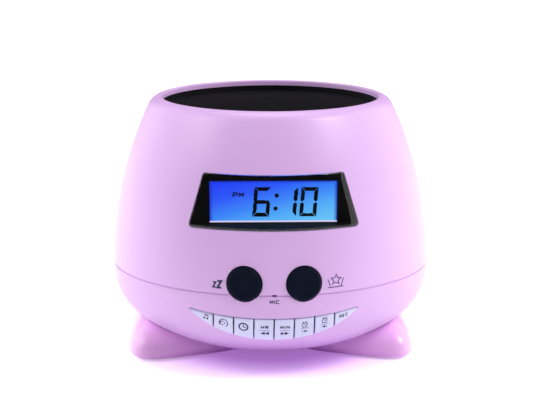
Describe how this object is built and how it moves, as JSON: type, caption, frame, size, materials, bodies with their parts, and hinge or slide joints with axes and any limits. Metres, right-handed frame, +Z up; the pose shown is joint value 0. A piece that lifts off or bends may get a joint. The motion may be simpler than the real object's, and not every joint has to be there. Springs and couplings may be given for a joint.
{
  "type": "alarm clock",
  "caption": "Children's alarm clock: a bowl-shaped case on two fan feet, with a backlit display, round buttons, a curved key strip and a star projector under a smoked top window.",
  "frame": {"origin": "on the table, under the middle of the bowl", "axes": "+Z up; -Y is the front with the display; +X is the clock's own left side as it faces the viewer, which is the viewer's right"},
  "size_m": [0.15, 0.1512, 0.12],
  "materials": {
    "case_plastic": "satin pink-lilac moulded ABS",
    "foot_plastic": "satin mauve moulded ABS",
    "pad_rubber": "dull black rubber",
    "screw_steel": "zinc-plated steel",
    "magnet_iron": "dark sintered ferrite",
    "smoked_window": "polished smoked polycarbonate",
    "white_plastic": "plain white moulding",
    "lamp_resin": "clear LED resin",
    "black_plastic": "glossy black moulding",
    "clear_lens": "clear curved acrylic",
    "lcd_glass": "blue backlit liquid-crystal panel",
    "board_laminate": "green circuit board",
    "button_plastic": "glossy navy-black moulding",
    "key_plastic": "smooth lavender-white moulding",
    "key_rubber": "grey silicone",
    "cone_paper": "black speaker paper",
    "cell_jacket": "printed cell jacket"
  },
  "bodies": {
    "case": {"upper_shell": "case_plastic", "lower_shell": "case_plastic", "left_foot": "foot_plastic", "right_foot": "foot_plastic", "foot_pads": "pad_rubber", "case_screws": "screw_steel", "top_window": "smoked_window", "lamp_housing": "white_plastic", "lamp_housing_screws": "screw_steel", "lamp_board": "white_plastic", "lamp": "lamp_resin", "star_mask": "black_plastic", "projector_lens": "clear_lens", "display_lens": "clear_lens", "display_frame": "black_plastic", "lcd_panel": "lcd_glass", "lcd_backlight": "white_plastic", "lcd_connectors": "pad_rubber", "main_board": "board_laminate", "board_parts": "black_plastic", "board_screws": "screw_steel", "button_switches": "black_plastic", "microphone": "screw_steel", "microphone_grommet": "pad_rubber", "key_sheet": "key_rubber", "key_board": "board_laminate", "speaker_basket": "screw_steel", "speaker_cone": "cone_paper", "speaker_magnet": "magnet_iron", "battery_box": "white_plastic", "batteries": "cell_jacket", "battery_contacts": "screw_steel", "battery_door": "case_plastic", "door_screw": "screw_steel"},
    "snooze_button": {"snooze_button": "button_plastic"},
    "projector_button": {"projector_button": "button_plastic"},
    "music_key": {"music_key": "key_plastic"},
    "night_key": {"night_key": "key_plastic"},
    "clock_key": {"clock_key": "key_plastic"},
    "hour_key": {"hour_key": "key_plastic"},
    "minute_key": {"minute_key": "key_plastic"},
    "alarm_one_key": {"alarm_one_key": "key_plastic"},
    "alarm_two_key": {"alarm_two_key": "key_plastic"},
    "record_key": {"record_key": "key_plastic"}
  },
  "joints": [
    {"name": "snooze_button_press", "type": "slide", "parent": "case", "child": "snooze_button", "axis": [0.1764, 0.9843, 0], "range_m": [0, 0.0012], "stiffness_N_per_m": 400},
    {"name": "projector_button_press", "type": "slide", "parent": "case", "child": "projector_button", "axis": [-0.1764, 0.9843, 0], "range_m": [0, 0.0012], "stiffness_N_per_m": 400},
    {"name": "music_key_press", "type": "slide", "parent": "case", "child": "music_key", "axis": [0, 0.8339, 0.5519], "range_m": [0, 0.001], "stiffness_N_per_m": 300},
    {"name": "night_key_press", "type": "slide", "parent": "case", "child": "night_key", "axis": [0, 0.8339, 0.5519], "range_m": [0, 0.001], "stiffness_N_per_m": 300},
    {"name": "clock_key_press", "type": "slide", "parent": "case", "child": "clock_key", "axis": [0, 0.8339, 0.5519], "range_m": [0, 0.001], "stiffness_N_per_m": 300},
    {"name": "hour_key_press", "type": "slide", "parent": "case", "child": "hour_key", "axis": [0, 0.8339, 0.5519], "range_m": [0, 0.001], "stiffness_N_per_m": 300},
    {"name": "minute_key_press", "type": "slide", "parent": "case", "child": "minute_key", "axis": [0, 0.8339, 0.5519], "range_m": [0, 0.001], "stiffness_N_per_m": 300},
    {"name": "alarm_one_key_press", "type": "slide", "parent": "case", "child": "alarm_one_key", "axis": [0, 0.8339, 0.5519], "range_m": [0, 0.001], "stiffness_N_per_m": 300},
    {"name": "alarm_two_key_press", "type": "slide", "parent": "case", "child": "alarm_two_key", "axis": [0, 0.8339, 0.5519], "range_m": [0, 0.001], "stiffness_N_per_m": 300},
    {"name": "record_key_press", "type": "slide", "parent": "case", "child": "record_key", "axis": [0, 0.8339, 0.5519], "range_m": [0, 0.001], "stiffness_N_per_m": 300}
  ]
}
